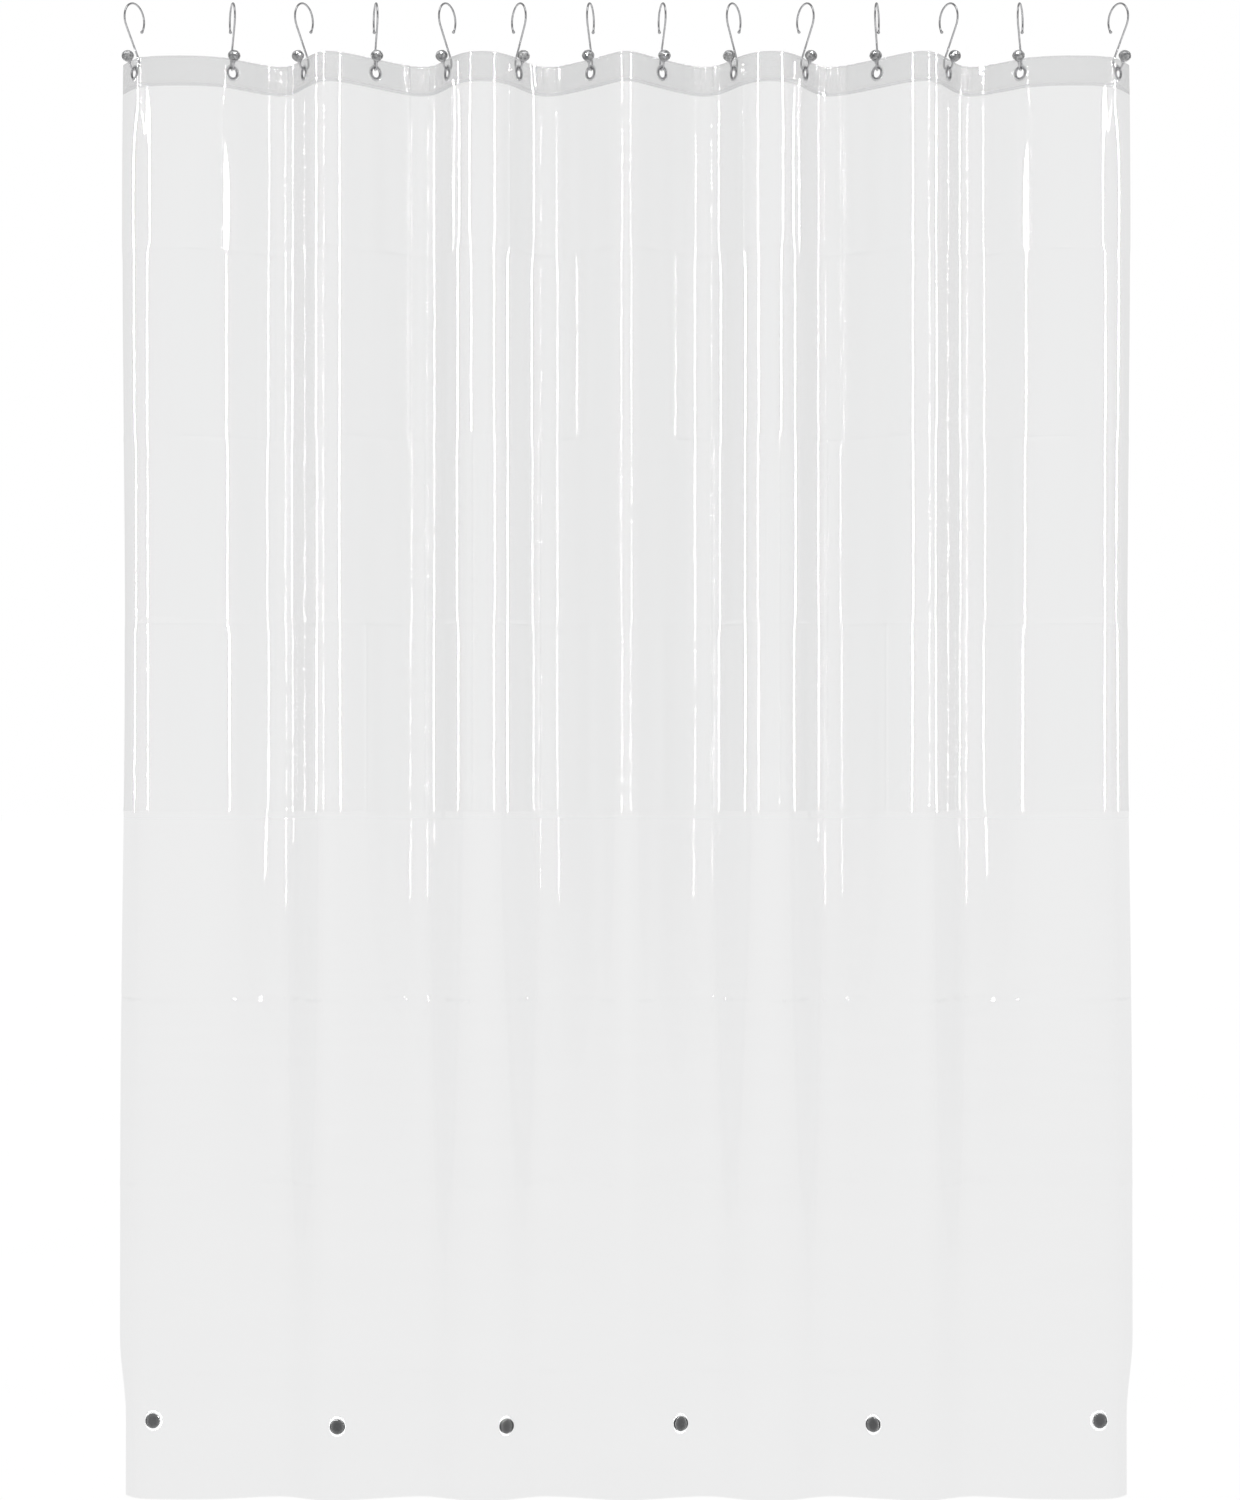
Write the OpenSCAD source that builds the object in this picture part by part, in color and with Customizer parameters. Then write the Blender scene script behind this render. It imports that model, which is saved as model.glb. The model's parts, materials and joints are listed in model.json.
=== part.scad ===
// Clear film shower curtain, hung by wire hooks from a round rod.
// The curtain hangs in folds: odd eyelets turn the film towards the front, even ones towards the back.
// X runs along the rod, -Y is the room side, +Z is up. The origin is on the rod's axis, over the middle.

/* [Curtain] */
// Width of the film laid flat
flat_w = 1829; // [1500:1:1900]
// Height of the film
film_h = 1829; // [1200:1:2100]
// Thickness of the film
film_t = 0.2; // [0.15:0.05:0.4]
// Flat distance from a side edge to the outermost eyelet
edge_margin = 38; // [25:1:50]
// Height of the doubled band along the top
header_h = 38; // [30:1:60]
// Height of the film's top edge over the rod's axis
film_top = -53; // [-56:1:-50]

/* [Folds] */
// Distance between neighbouring eyelets as the curtain hangs
hung_pitch = 91; // [85:1:110]
// Distance from the middle to the outermost eyelets
end_x = 625; // [600:1:640]
// Share of the fold depth that is left at the bottom edge
bottom_share = 0.25; // [0.2:0.05:0.6]
// Height at which the folds begin to flatten
fold_z = -900; // [-1100:10:-600]

/* [Hooks] */
// Diameter of the hook wire
wire_d = 2.5; // [2:0.1:3]
// Largest rod that the hooks go round
rod_d = 31.75; // [25:0.05:32]
// Radius of the loop round the rod, to the middle of the wire
loop_r = 20; // [20:0.1:22]
// Height of the wire's middle at the bottom of the hook
hook_bottom = -67; // [-69:0.5:-66]
// Lean of the hook's back leg
leg_lean = 34; // [33:0.5:36]
// Lean of the hook's front arm
arm_lean = 25; // [15:1:30]
// Length of the front arm below its cup
arm_l = 2; // [1:0.5:6]
// Radius of the crystal knob
knob_r = 8; // [6:0.1:9]

/* [Eyelets] */
// Radius of the hole
eyelet_hole_r = 5.75; // [5.5:0.05:6.5]
// Outer radius of the flange
eyelet_r = 8; // [8:0.1:9]

/* [Magnets] */
// Diameter of a magnet
magnet_d = 19; // [15:0.5:20]
// Thickness of a magnet
magnet_t = 2; // [1.5:0.1:3]
// Height of the magnets over the bottom edge
magnet_up = 94; // [60:1:150]

/* [Hidden] */
$fn = 48;
hooks = 14;
magnets = 6;
half = hooks / 2;
film_bottom = film_top - film_h;
flat_pitch = (flat_w - 2 * edge_margin) / (hooks - 1);
wire_r = wire_d / 2;

// Film angle and hook yaw at each eyelet, in degrees, from the middle pair outwards
fold_angles = [46, 64, 64, 44, 62, 42, 52];
hook_yaws = [12, 28, 28, 12, 28, 17, 28];
// Where the magnets lie along the rod, as the curtain hangs
magnet_xs = [-601, -366, -152, 69, 314, 601];
// The outer magnets are a little higher than the inner ones
outer_magnet_rise = 6;

// Flat run of film on either side of an eyelet, which holds it flat
eyelet_run = 9;
// Steps of the film's outline between two of these runs, and in each side margin
gap_steps = 12;
margin_steps = 2;
// Levels at which the flattening folds are worked out
flatten_steps = 4;
header_gap = 0.02;

// Eyelet section
hole_gap = 0.6;
cutter_h = 6;
flange_t = 0.9;
flange_edge = 0.35;
slot_half = 0.75;
barrel_t = 0.55;
barrel_gap = 0.3;
eyelet_z = hook_bottom + wire_r + hole_gap - eyelet_hole_r;

// Hook outline, in its own plane: the loop hangs on the rod, so its centre is under the rod's axis
loop_z = rod_d / 2 + wire_r - loop_r;
tip_angle = -40;
tip_r = 2;
bend_r = ((loop_z - hook_bottom) * sin(leg_lean) - loop_r) / (1 + sin(leg_lean));
bend_z = hook_bottom + bend_r;
leg_l = norm([(bend_r + loop_r) * cos(leg_lean),
              (loop_z - loop_r * sin(leg_lean)) - (bend_z + bend_r * sin(leg_lean))]);
cup_h = 2.2;
cup_r = 4.2;
cup_foot = 0.5;
cup_foot_r = wire_r + 0.4;
knob_h = 13;
// The knob's outline from its foot to its top, as shares of its radius and height
knob_shape = [[0.8, 0.12], [1, 0.36], [1, 0.6], [0.8, 0.85], [0.42, 0.97]];
end_gap = 0.1;
weld_rise = 0.05;

// Magnet pocket section
pocket_t = 0.3;
pocket_gap = 0.3;
pocket_rim = 3;
pocket_lift = 1.2;

function two(k) = str(k < 10 ? "0" : "", k);

// ---- the film's path, seen from above ----

// An eyelet's number from the middle pair (0) outwards, and its side
function outward(k) = k <= half ? half - k : k - half - 1;
function side(k) = k <= half ? -1 : 1;
// Odd eyelets and hooks turn to the front left, even ones to the front right
function turn(k) = k % 2 == 1 ? -1 : 1;

function eyelet_x(k) = side(k) * (outward(k) == half - 1 ? end_x : hung_pitch * (outward(k) + 0.5));
function film_angle(k) = turn(k) * fold_angles[outward(k)];
function unit(a) = [cos(a), sin(a)];
function run_end(k, way) = [eyelet_x(k), 0] + way * eyelet_run * unit(film_angle(k));

// A fold is one cubic curve from an eyelet's flat run to the next, whose handles reach the same depth
function handle(k, depth) = depth / sin(abs(film_angle(k))) * unit(film_angle(k));
function cubic(p, a, b, q, t) =
    (1 - t)^3 * p + 3 * (1 - t)^2 * t * a + 3 * (1 - t) * t^2 * b + t^3 * q;
function fold_point(k, depth, t) =
    let (p = run_end(k, 1), q = run_end(k + 1, -1))
    cubic(p, p + handle(k, depth), q - handle(k + 1, depth), q, t);
function fold_length(k, depth, i = 0) =
    i == gap_steps ? 0
    : norm(fold_point(k, depth, (i + 1) / gap_steps) - fold_point(k, depth, i / gap_steps))
      + fold_length(k, depth, i + 1);
// The handle depth at which a fold uses up the flat distance between two eyelets, by halving
function fold_depth(k, low = 5, high = 100, n = 20) =
    n == 0 ? (low + high) / 2
    : let (mid = (low + high) / 2)
      fold_length(k, mid) + 2 * eyelet_run < flat_pitch ? fold_depth(k, mid, high, n - 1)
                                                        : fold_depth(k, low, mid, n - 1);
depths = [for (k = [1:hooks - 1]) fold_depth(k)];

// A point on the film's path, at a place counted from eyelet to eyelet
run_share = 0.08;
function path_point(u) =
    let (k = min(max(floor(u), 1), hooks - 1), v = u - k, p = [eyelet_x(k), 0], q = [eyelet_x(k + 1), 0])
    v < run_share ? p + v / run_share * (run_end(k, 1) - p)
    : v > 1 - run_share ? q + (1 - v) / run_share * (run_end(k + 1, -1) - q)
    : fold_point(k, depths[k - 1], (v - run_share) / (1 - 2 * run_share));
// The place at which the path passes a point of the rod, by halving
function place_at(x, low = 1, high = hooks, n = 24) =
    n == 0 ? (low + high) / 2
    : let (mid = (low + high) / 2)
      path_point(mid).x < x ? place_at(x, mid, high, n - 1) : place_at(x, low, mid, n - 1);
function margin_point(k, reach) =
    [eyelet_x(k), 0] + side(k) * (eyelet_run + (edge_margin - eyelet_run) * reach) * unit(film_angle(k));
path = concat(
    [for (i = [margin_steps:-1:0]) margin_point(1, i / margin_steps)],
    [for (k = [1:hooks - 1], i = [0:gap_steps]) fold_point(k, depths[k - 1], i / gap_steps)],
    [for (i = [0:margin_steps]) margin_point(hooks, i / margin_steps)]);

// How much of the fold depth is left at a height
function smooth(t) = t * t * (3 - 2 * t);
function fold_share(z) =
    z > fold_z ? 1 : 1 - (1 - bottom_share) * smooth((fold_z - z) / (fold_z - film_bottom));
function flatten(p, z) = [p.x, p.y * fold_share(z)];

// The path's points at a height, moved off the path by a distance towards the back
function across(p, q) = let (d = q - p) [-d.y, d.x] / norm(d);
function moved(points, off) =
    [for (i = [0:len(points) - 1])
        points[i] + off * across(points[max(i - 1, 0)], points[min(i + 1, len(points) - 1)])];
function level(z, off) = moved([for (p = path) flatten(p, z)], off);
function raised(points, z) = [for (p = points) [p.x, p.y, z]];

// A sheet that follows the path: one closed ring of points at each height, joined ring to ring.
// Both sides split their panels along the same diagonal, so the sheet keeps its thickness.
module sheet(heights, near, far) {
    n = len(path);
    ring = 2 * n;
    rows = len(heights);
    points = [for (z = heights)
        let (front = raised(level(z, near), z), back = raised(level(z, far), z))
        each concat(front, [for (i = [n - 1:-1:0]) back[i]])];
    walls = [for (r = [0:rows - 2], i = [0:ring - 1])
        let (a = r * ring + i, b = r * ring + (i + 1) % ring)
        each i < n ? [[a, a + ring, b], [b, a + ring, b + ring]]
                   : [[a, a + ring, b + ring], [a, b + ring, b]]];
    first = [for (i = [0:n - 2]) each [[i, i + 1, ring - 1 - i], [i + 1, ring - 2 - i, ring - 1 - i]]];
    base = (rows - 1) * ring;
    last = [for (f = first) [base + f[0], base + f[2], base + f[1]]];
    polyhedron(points, concat(walls, first, last));
}

flatten_levels = [for (i = [1:flatten_steps - 1])
    fold_z + (film_bottom + magnet_up - fold_z) * i / flatten_steps];
film_levels = concat([film_top, fold_z], flatten_levels, [film_bottom + magnet_up, film_bottom]);

// Stands the children's Z axis along the film's back normal at an eyelet
module at_eyelet(k) {
    translate([eyelet_x(k), 0, eyelet_z]) rotate([-90, 0, film_angle(k)]) children();
}

module eyelet_holes() {
    for (k = [1:hooks])
        at_eyelet(k)
            cylinder(r = eyelet_hole_r + barrel_t + barrel_gap, h = cutter_h, center = true);
}

// ---- sub-parts ----

// The clear sheet
module film() {
    color([0.9, 0.91, 0.92, 0.4])
    difference() {
        sheet(film_levels, -film_t / 2, film_t / 2);
        eyelet_holes();
    }
}

// The second layer of film welded on behind the top edge
module header_band() {
    color([0.85, 0.86, 0.87, 0.7])
    difference() {
        sheet([film_top, film_top - header_h], film_t / 2 + header_gap, film_t * 1.5 + header_gap);
        eyelet_holes();
    }
}

// Metal eyelet: two flanges that hold the film between them, joined through the hole
module grommet(k) {
    outer = slot_half + flange_t;
    edge = flange_edge;
    color([0.8, 0.8, 0.8])
    at_eyelet(k)
    rotate_extrude()
    polygon([
        [eyelet_hole_r, -outer + edge], [eyelet_hole_r + edge, -outer], [eyelet_r - edge, -outer],
        [eyelet_r, -outer + edge], [eyelet_r, -slot_half], [eyelet_hole_r + barrel_t, -slot_half],
        [eyelet_hole_r + barrel_t, slot_half], [eyelet_r, slot_half], [eyelet_r, outer - edge],
        [eyelet_r - edge, outer], [eyelet_hole_r + edge, outer], [eyelet_hole_r, outer - edge]]);
}

// Stands the hook's plane over its eyelet: x towards the back, y up
module hook_plane(k) {
    translate([eyelet_x(k), 0, 0])
    rotate([90, 0, 90 + turn(k) * hook_yaws[outward(k)]])
    children();
}

// A wire arc in the hook's plane, round a centre at height z, that stops just short of both ends
module wire_arc(z, r, from, sweep) {
    short = end_gap / r * 180 / PI;
    translate([0, z, 0])
    rotate([0, 0, from + short])
    rotate_extrude(angle = sweep - 2 * short)
    translate([r, 0])
    circle(r = wire_r);
}

// The bead of weld that joins two stretches of wire
module weld() { sphere(r = wire_r + weld_rise); }

// Stands the children's Z axis along the front arm, from the end of the bend
module on_arm() {
    translate([-bend_r * cos(arm_lean), bend_z - bend_r * sin(arm_lean), 0])
    rotate([-90, 0, arm_lean])
    children();
}

// Stands the children's Z axis down the back leg, from the loop's end
module on_leg() {
    translate([-loop_r * cos(leg_lean), loop_z - loop_r * sin(leg_lean), 0])
    rotate([90, 0, leg_lean])
    children();
}

// Chrome wire hook: an open loop for the rod, a leg, a bend through the eyelet, an arm and a cup
module hook(k) {
    color([0.75, 0.75, 0.77])
    hook_plane(k)
    union() {
        wire_arc(loop_z, loop_r, tip_angle, 180 + leg_lean - tip_angle);
        translate([loop_r * cos(tip_angle), loop_z + loop_r * sin(tip_angle), 0]) sphere(r = tip_r);
        on_leg() weld();
        on_leg() translate([0, 0, end_gap]) cylinder(r = wire_r, h = leg_l - 2 * end_gap);
        on_leg() translate([0, 0, leg_l]) weld();
        wire_arc(bend_z, bend_r, arm_lean - 180, 180 - arm_lean + leg_lean);
        on_arm() weld();
        on_arm() translate([0, 0, end_gap]) cylinder(r = wire_r, h = arm_l);
        on_arm() translate([0, 0, arm_l - cup_foot])
            cylinder(r1 = cup_foot_r, r2 = cup_r, h = cup_h + cup_foot);
    }
}

// Crystal knob seated on the hook's cup
module knob(k) {
    color([0.9, 0.9, 0.92, 0.8])
    hook_plane(k)
    on_arm()
    translate([0, 0, arm_l + cup_h])
    rotate_extrude()
    polygon(concat([[0, 0], [cup_r, 0]],
                   [for (s = knob_shape) [s.x * knob_r, s.y * knob_h]],
                   [[0, knob_h]]));
}

// Stands the children's Z axis towards the front from the film at a magnet
function magnet_z(m) = film_bottom + magnet_up + (m == 1 || m == magnets ? outer_magnet_rise : 0);
function magnet_point(m, x) = flatten(path_point(place_at(x)), magnet_z(m));
function magnet_angle(m) =
    let (x = magnet_xs[m - 1],
         d = magnet_point(m, x + magnet_d / 2) - magnet_point(m, x - magnet_d / 2))
    atan2(d.y, d.x);
module at_magnet(m) {
    p = magnet_point(m, magnet_xs[m - 1]);
    translate([p.x, p.y, magnet_z(m)])
    rotate([90, 0, magnet_angle(m)])
    translate([0, 0, film_t / 2 + pocket_lift])
    children();
}

module magnet(m) {
    color([0.3, 0.3, 0.31])
    at_magnet(m)
    cylinder(d = magnet_d, h = magnet_t);
}

// Clear cover welded over a magnet: a shallow cap with a flat rim
module pocket(m) {
    inner = magnet_d / 2 + pocket_gap;
    outer = inner + pocket_t;
    top = magnet_t + pocket_gap;
    color([0.92, 0.93, 0.94, 0.5])
    at_magnet(m)
    rotate_extrude()
    polygon([[0, top], [inner, top], [inner, 0], [outer + pocket_rim, 0], [outer + pocket_rim, pocket_t],
             [outer, pocket_t], [outer, top + pocket_t], [0, top + pocket_t]]);
}

film();
header_band();
for (k = [1:hooks]) {
    hook(k);
    knob(k);
    grommet(k);
}
for (m = [1:magnets]) {
    magnet(m);
    pocket(m);
}
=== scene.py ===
"""Looks of a clear film shower curtain on wire hooks with crystal knobs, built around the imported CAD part.

Metres. X runs along the rod, -Y is the room side, +Z is up, and the origin is on the rod's axis.
The film is drawn as the CAD source draws it: one path seen from above, whose folds flatten towards the
bottom. On it lie the finer shapes of real film: creases from its packing, ripples and puckers.
"""
import json
import math

import bpy
import numpy as np
from mathutils import Matrix, Vector


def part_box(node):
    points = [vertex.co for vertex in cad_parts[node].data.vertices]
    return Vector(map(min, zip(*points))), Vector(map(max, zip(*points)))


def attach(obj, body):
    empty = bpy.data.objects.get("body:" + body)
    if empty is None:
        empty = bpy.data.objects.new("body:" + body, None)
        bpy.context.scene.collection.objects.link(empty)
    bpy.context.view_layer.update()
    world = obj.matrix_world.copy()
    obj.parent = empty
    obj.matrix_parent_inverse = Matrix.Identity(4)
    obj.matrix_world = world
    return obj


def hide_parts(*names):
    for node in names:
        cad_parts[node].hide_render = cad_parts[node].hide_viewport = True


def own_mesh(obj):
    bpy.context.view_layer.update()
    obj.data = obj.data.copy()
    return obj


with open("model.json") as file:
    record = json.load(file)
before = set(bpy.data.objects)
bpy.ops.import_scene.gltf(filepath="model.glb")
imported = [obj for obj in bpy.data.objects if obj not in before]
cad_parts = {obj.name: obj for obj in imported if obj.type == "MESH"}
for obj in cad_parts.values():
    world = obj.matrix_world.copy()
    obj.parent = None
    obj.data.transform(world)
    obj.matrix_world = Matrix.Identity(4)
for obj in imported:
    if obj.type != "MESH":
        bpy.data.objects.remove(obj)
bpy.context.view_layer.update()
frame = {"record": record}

scene = bpy.context.scene
rng = np.random.default_rng(7)

# ---- sizes, as in the CAD source ----

HOOKS = 14
HALF = HOOKS // 2
MAGNETS = 6
FLAT_W = 1.829
EDGE_MARGIN = 0.038
HEADER_H = 0.038
FLAT_PITCH = (FLAT_W - 2 * EDGE_MARGIN) / (HOOKS - 1)
FOLD_Z = -0.9  # the folds flatten below this height
BOTTOM_SHARE = 0.25  # share of the folds' depth left at the bottom
# Film angle and hook yaw at each eyelet, in degrees, from the middle pair outwards
FOLD_ANGLES = [46, 64, 64, 44, 62, 42, 52]
HOOK_YAWS = [12, 28, 28, 12, 28, 17, 28]
EYELET_RUN = 0.009  # flat run of film on either side of an eyelet
CAD_STEPS = 12  # steps of the CAD film's outline between two of these runs
WIRE_R = 0.00125
LOOP_R = 0.020
LOOP_Z = -0.002875
LOOP_TIP = -40  # angle of the loop's free end, in degrees
LEG_LEAN = 34  # the back leg and the front arm lean out by these degrees
ARM_LEAN = 25
ARM_L = 0.002
HOOK_BOTTOM = -0.067
TIP_R = 0.002  # bead at the loop's free end
CUP_H = 0.0022  # the knob stands this far beyond the arm's end
KNOB_R = 0.008
KNOB_H = 0.013
EYELET_HOLE_R = 0.00575
EYELET_R = 0.008
MAGNET_R, MAGNET_T = 0.0095, 0.002

# ---- finer shapes ----

FILM_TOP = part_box("film")[1].z
FILM_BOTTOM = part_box("film")[0].z
HOLE_R = 0.007  # the film's hole, under the eyelet's flange
PATCH_R = 0.0105  # clear reinforcing patch round an eyelet
CREASE_FIRST = 0.243  # first packing crease below the top edge
CREASE_PITCH = 0.2375
CREASE_COUNT = 7
CREASE_H = 0.0009
CREASE_HALF = 0.009
CREASE_SHARPNESS = 1.6
CREASE_BLEND = 0.02  # the film changes from one panel to the next over this height
CREASE_STRENGTH = 0.5
CREASE_WAVES = {0.05: 0.16, 0.13: 0.16, 0.31: 0.18}  # a crease's strength varies: wave length: height
RIPPLES = {0.024: 0.00007, 0.037: 0.00014, 0.061: 0.0003, 0.103: 0.0004}  # wave length: height
SHARED_RIPPLES, PANEL_RIPPLES = 0.55, 0.6  # ripples that run the whole height, and each panel's own
RIPPLE_TOP_SHARE, RIPPLE_TOP_H = 0.3, 0.09  # how weak they are at the top edge, and how far down
RIPPLE_CALM_Z = -1.0  # the ripples die away below this height
RIPPLE_CALM_H = 0.35
RIPPLE_LOSS = 0.7
PUCKER_LENGTH = 0.013
PUCKER_H = 0.0015
PUCKER_Z = 0.055
PUCKER_HALF = 0.03
CALM_R = 0.024  # no ripples this close to an eyelet or a magnet
CALM_INNER = 0.6
SOFTEN_REACH = 0.014  # the folds' bends are rounded over this distance
SOFTEN_TOP = -0.085  # everywhere below this height
SOFTEN_H = 0.12  # and fully so this far below it
SOFTEN_CLEAR = 0.011  # above it, only this far from an eyelet
EDGE_BOW = 0.005  # the side edges bow back
EDGE_BOW_W = 0.05
EDGE_BOW_WAVE, EDGE_BOW_L = 0.4, 0.17  # and do so unevenly down their length
# Upright creases: distance from the middle as hung, the packing creases they run between, and height
UPRIGHTS = [
    (0.113, 1, 3, 0.0007), (0.176, 1, 3, 0.0008), (0.193, 1, 3, 0.0007), (0.256, 1, 3, 0.0008),
    (0.372, 0, 3, 0.0006), (0.147, -1, 0, 0.0007), (0.221, -1, 0, 0.0009), (0.279, -1, 1, 0.0005),
    (0.409, -1, 3, 0.0009), (0.512, -1, 0, 0.0005), (0.062, 0, 1, 0.0005), (0.330, 2, 3, 0.0005),
]
UPRIGHT_HALF = 0.0017
CURL_TOP = -1.680  # the bottom corners curl back below this height
CURL_H = 0.1
CURL_W = 0.09
CURL_IN = 0.007
CURL_BACK = 0.005

# ---- mesh steps ----

DEPTHS = (0.005, 0.1)  # a fold's handle depth lies between these
HALVINGS = 20
FOLD_STEPS, RUN_STEPS, EDGE_STEPS = 240, 10, 40  # fine steps of the film's path
EVEN_POINTS = 4001
COLUMN_W, COLUMN_TURN, BEND_MOST = 0.0068, 0.24, 60  # widest column, its turn, and the sharpest bend
EYELET_NEAR, EYELET_COLUMN_W, EYELET_ROW_H = 0.0088, 0.0021, 0.0019
UPRIGHT_COLUMN_W = 0.0012
ROW_H = 0.021
TOP_ROWS = (0, 0.0012, 0.003, 0.0055)
BAND_ROWS = (-0.005, -0.0025, 0)
CREASE_ROWS = (0, 0.001, 0.0025, 0.005, 0.009)
BOTTOM_ROWS = (0, 0.002)
LOOP_STEPS, LEG_STEPS, BEND_STEPS, ARM_STEPS = 72, 16, 48, 8
FLANGE_STEPS = 9
WIRE_SIDES, CUP_SIDES, KNOB_SIDES, EYELET_SIDES, PATCH_SIDES, COVER_SIDES = 14, 28, 10, 48, 40, 48

# ---- small parts' profiles ----

CUP_PROFILE = [
    (0.00125, -0.0012), (0.0018, -0.0010), (0.0020, -0.0004), (0.0018, 0.0), (0.0022, 0.0005),
    (0.0031, 0.0012), (0.0040, 0.0019), (0.0046, 0.0025), (0.0047, 0.0029), (0.0044, 0.0031),
    (0.0040, 0.0030), (0.0036, 0.0026),
]
KNOB_PROFILE = [
    (0.0034, 0.0), (0.0050, 0.0008), (0.0068, 0.0025), (KNOB_R, 0.0049), (0.0079, 0.0074),
    (0.0066, 0.0102), (0.0042, 0.0123), (0.0016, KNOB_H),
]
BEAD_NECK = 0.0035  # the bead narrows to the wire over this length
BEAD_STEPS = [1, 0.97, 0.87, 0.7, 0.5, 0.25]
LEAST_R = 0.0003
FLANGE_LIFT, FLANGE_H = 0.0003, 0.00125
MAGNET_LIFT = 0.0006
EDGE_R = 0.00035  # rounding of a magnet's edges
MAGNET_PROFILE = [
    (0.0004, 0), (MAGNET_R - EDGE_R, 0), (MAGNET_R, EDGE_R), (MAGNET_R, MAGNET_T - EDGE_R),
    (MAGNET_R - 0.3 * EDGE_R, MAGNET_T - 0.3 * EDGE_R), (MAGNET_R - EDGE_R, MAGNET_T),
    (0.004, MAGNET_T), (0.0004, MAGNET_T),
]
COVER_RINGS = [
    (0.0132, 0.0001), (0.0131, 0.0004), (0.0122, 0.0007), (0.0112, 0.0005), (0.0106, 0.0009),
    (0.0103, 0.0022), (0.0099, 0.0029), (0.0092, 0.0032), (0.0050, 0.0033), (0.0006, 0.0033),
]
BAND_OFF = 0.00025
PATCH_OFF = 0.0003
PATCH_EDGE = 0.0005

# Whitening, from 0 to 1: of each ring of a cover and a patch, and of lines this far on either side. A
# cover's whitened rings are partly its weld and partly a painted highlight.
COVER_WELD_AND_HIGHLIGHT_MARKS = [1, 1, 0.9, 1, 0.9, 0.6, 0.6, 0.1, 0, 0]
PATCH_MARKS = [0.3, 0.1, 1.0, 1.0]
CREASE_MARK_HALF, TOP_MARK_HALF, BOTTOM_MARK_HALF = 0.003, 0.0015, 0.0025
BOTTOM_MARK = 0.6
WELD_MARK_UP, WELD_MARK_HALF = 0.0025, 0.003


def smooth(t):
    t = np.clip(t, 0, 1)
    return t * t * (3 - 2 * t)


def outward(k):
    """An eyelet's number from the middle pair (0) outwards."""
    return HALF - k if k <= HALF else k - HALF - 1


def turn(k):
    """-1 where the film or the hook turns to the front left, 1 to the front right."""
    return -1 if k % 2 else 1


def node(kind, k):
    return f"{kind}_{k:02d}"


def centre(name):
    low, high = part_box(name)
    return (low + high) / 2


EYELETS = {k: centre(node("grommet", k)) for k in range(1, HOOKS + 1)}
EYELET_Z = EYELETS[1].z


# ---- the film's path, seen from above ----


def direction(k):
    a = math.radians(turn(k) * FOLD_ANGLES[outward(k)])
    return np.array([math.cos(a), math.sin(a)])


def fold(k, depth, steps):
    """Points of the fold from eyelet k's flat run to the next one's, whose handles reach that depth."""
    u, v = direction(k), direction(k + 1)
    p = np.array([EYELETS[k].x, 0.0]) + EYELET_RUN * u
    q = np.array([EYELETS[k + 1].x, 0.0]) - EYELET_RUN * v
    a, b = p + depth / abs(u[1]) * u, q - depth / abs(v[1]) * v
    t = np.linspace(0, 1, steps + 1)[:, None]
    return (1 - t) ** 3 * p + 3 * (1 - t) ** 2 * t * a + 3 * (1 - t) * t**2 * b + t**3 * q


def length(points):
    return float(np.linalg.norm(np.diff(points, axis=0), axis=1).sum())


def fold_depth(k):
    """The handle depth at which a fold uses up the flat distance between two eyelets."""
    low, high = DEPTHS
    for _ in range(HALVINGS):
        mid = (low + high) / 2
        if length(fold(k, mid, CAD_STEPS)) + 2 * EYELET_RUN < FLAT_PITCH:
            low = mid
        else:
            high = mid
    return (low + high) / 2


def run(k, start, end, steps):
    """Points of the straight film through eyelet k, between two distances along it."""
    along = np.linspace(start, end, steps, endpoint=False)[:, None]
    return np.array([EYELETS[k].x, 0.0]) + along * direction(k)


def whole_path():
    """The path in fine steps, and the flat distance of each eyelet from the left edge."""
    parts = [run(1, -EDGE_MARGIN, 0, EDGE_STEPS)]
    marks = []
    for k in range(1, HOOKS):
        marks.append(sum(len(p) for p in parts))
        parts.append(run(k, 0, EYELET_RUN, RUN_STEPS))
        parts.append(fold(k, fold_depth(k), FOLD_STEPS)[:-1])
        parts.append(run(k + 1, -EYELET_RUN, 0, RUN_STEPS))
    marks.append(sum(len(p) for p in parts))
    parts += [run(HOOKS, 0, EDGE_MARGIN, EDGE_STEPS), run(HOOKS, EDGE_MARGIN, 1, 1)]
    points = np.concatenate(parts)
    walked = np.concatenate([[0.0], np.cumsum(np.linalg.norm(np.diff(points, axis=0), axis=1))])
    return points, walked, {k: walked[m] for k, m in enumerate(marks, 1)}


def softened(points, walked, reach):
    """The path with its bends rounded over that distance, and its ends kept in place."""
    even = np.linspace(0, walked[-1], EVEN_POINTS)
    step = even[1]
    width = int(3 * reach / step)
    weights = np.exp(-0.5 * (np.arange(-width, width + 1) * step / reach) ** 2)
    weights /= weights.sum()
    rounded = []
    for axis in range(2):
        line = np.interp(even, walked, points[:, axis])
        padded = np.concatenate(
            [2 * line[0] - line[width:0:-1], line, 2 * line[-1] - line[-2 : -width - 2 : -1]]
        )
        rounded.append(np.interp(walked, even, np.convolve(padded, weights, "valid")))
    return np.stack(rounded, 1)


PATH, WALKED, EYELET_S = whole_path()
SLOPE = np.gradient(PATH, WALKED, axis=0)
SOFT_PATH = softened(PATH, WALKED, SOFTEN_REACH)
SOFT_SLOPE = np.gradient(SOFT_PATH, WALKED, axis=0)
TOTAL = WALKED[-1]


def fold_share(z):
    return 1 - (1 - BOTTOM_SHARE) * smooth((FOLD_Z - z) / (FOLD_Z - FILM_BOTTOM))


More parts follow.
